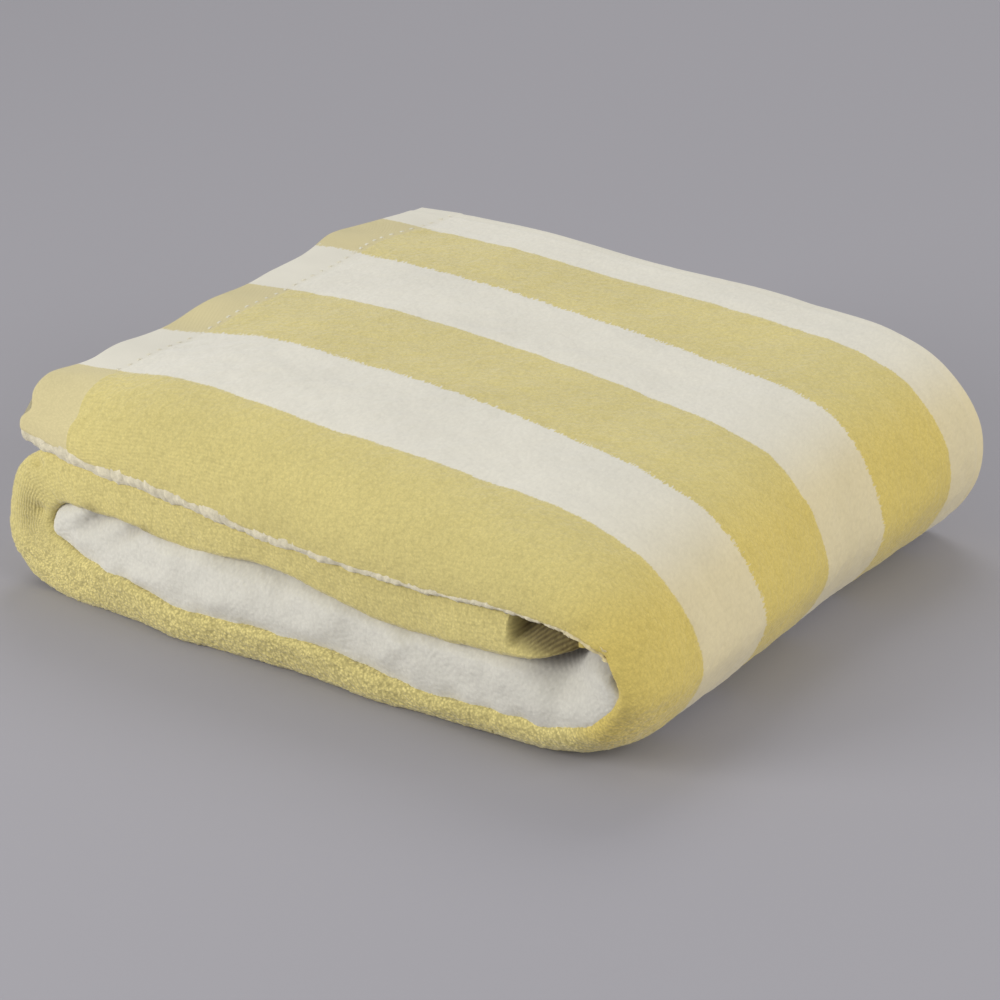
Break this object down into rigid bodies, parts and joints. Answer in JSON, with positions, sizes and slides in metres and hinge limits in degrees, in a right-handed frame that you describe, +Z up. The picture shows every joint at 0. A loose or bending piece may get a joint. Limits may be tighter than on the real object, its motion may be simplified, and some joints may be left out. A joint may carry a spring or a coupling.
{
  "type": "folded beach towel",
  "caption": "Thick striped terry beach towel folded into a soft rectangular block; its top layer unrolls to the side about the big rounded fold.",
  "frame": {"origin": "middle of the footprint, on the table surface", "axes": "+X along the stripes, from the hemmed end to the big right-hand fold; +Y from the front long fold to the back edge; +Z up"},
  "size_m": [0.336, 0.3045, 0.108],
  "materials": {
    "velour_yellow": "matte",
    "velour_white": "matte",
    "terry_reverse": "matte",
    "terry_inside": "matte",
    "loop_white": "matte",
    "flat_weave_yellow": "matte",
    "flat_weave_white": "matte",
    "hem_thread": "matte"
  },
  "bodies": {
    "base": {"bottom_front_stripe_yellow": "velour_yellow", "bottom_side_hem": "flat_weave_white", "bottom_stripes_white": "velour_white", "bottom_stripes_yellow": "velour_yellow", "bottom_upper_ply": "terry_reverse", "core_end_fold": "terry_inside", "core_end_fold_front": "velour_yellow", "core_end_hem": "flat_weave_white", "core_lower_layer": "terry_inside", "core_tail": "terry_inside", "core_upper_layer_white": "velour_white", "core_upper_layer_yellow": "velour_yellow", "inner_white_layer": "loop_white", "left_fold_white": "velour_white", "left_fold_yellow": "velour_yellow"},
    "fold_lower": {"right_fold_lower_inner_ply": "terry_reverse", "right_fold_lower_side_hem": "flat_weave_white", "right_fold_lower_white": "velour_white", "right_fold_lower_yellow": "velour_yellow"},
    "fold_middle": {"right_fold_middle_inner_ply": "terry_reverse", "right_fold_middle_side_hem": "flat_weave_white", "right_fold_middle_white": "velour_white", "right_fold_middle_yellow": "velour_yellow"},
    "fold_upper": {"right_fold_upper_inner_ply": "terry_reverse", "right_fold_upper_side_hem": "flat_weave_white", "right_fold_upper_white": "velour_white", "right_fold_upper_yellow": "velour_yellow"},
    "top_layer": {"end_hem_stitching": "hem_thread", "top_end_hem_white": "flat_weave_white", "top_end_hem_yellow": "flat_weave_yellow", "top_front_stripe_yellow": "velour_yellow", "top_lower_ply": "terry_reverse", "top_side_hem": "flat_weave_white", "top_stripes_white": "velour_white", "top_stripes_yellow": "velour_yellow"}
  },
  "joints": [
    {"name": "unfold_lower", "type": "hinge", "parent": "base", "child": "fold_lower", "pos_m": [0.13467, 0, 0.00411], "axis": [0, 1, 0], "range_deg": [0, 45]},
    {"name": "unfold_middle", "type": "hinge", "parent": "fold_lower", "child": "fold_middle", "pos_m": [0.16389, 0, 0.03333], "axis": [0, 1, 0], "range_deg": [0, 45]},
    {"name": "unfold_upper", "type": "hinge", "parent": "fold_middle", "child": "fold_upper", "pos_m": [0.16389, 0, 0.07466], "axis": [0, 1, 0], "range_deg": [0, 45]},
    {"name": "unfold_top", "type": "hinge", "parent": "fold_upper", "child": "top_layer", "pos_m": [0.13467, 0, 0.10389], "axis": [0, 1, 0], "range_deg": [0, 45]}
  ],
  "couplings": [
    {"joint": "unfold_middle", "follows": "unfold_lower", "ratio": 1},
    {"joint": "unfold_upper", "follows": "unfold_lower", "ratio": 1},
    {"joint": "unfold_top", "follows": "unfold_lower", "ratio": 1}
  ]
}
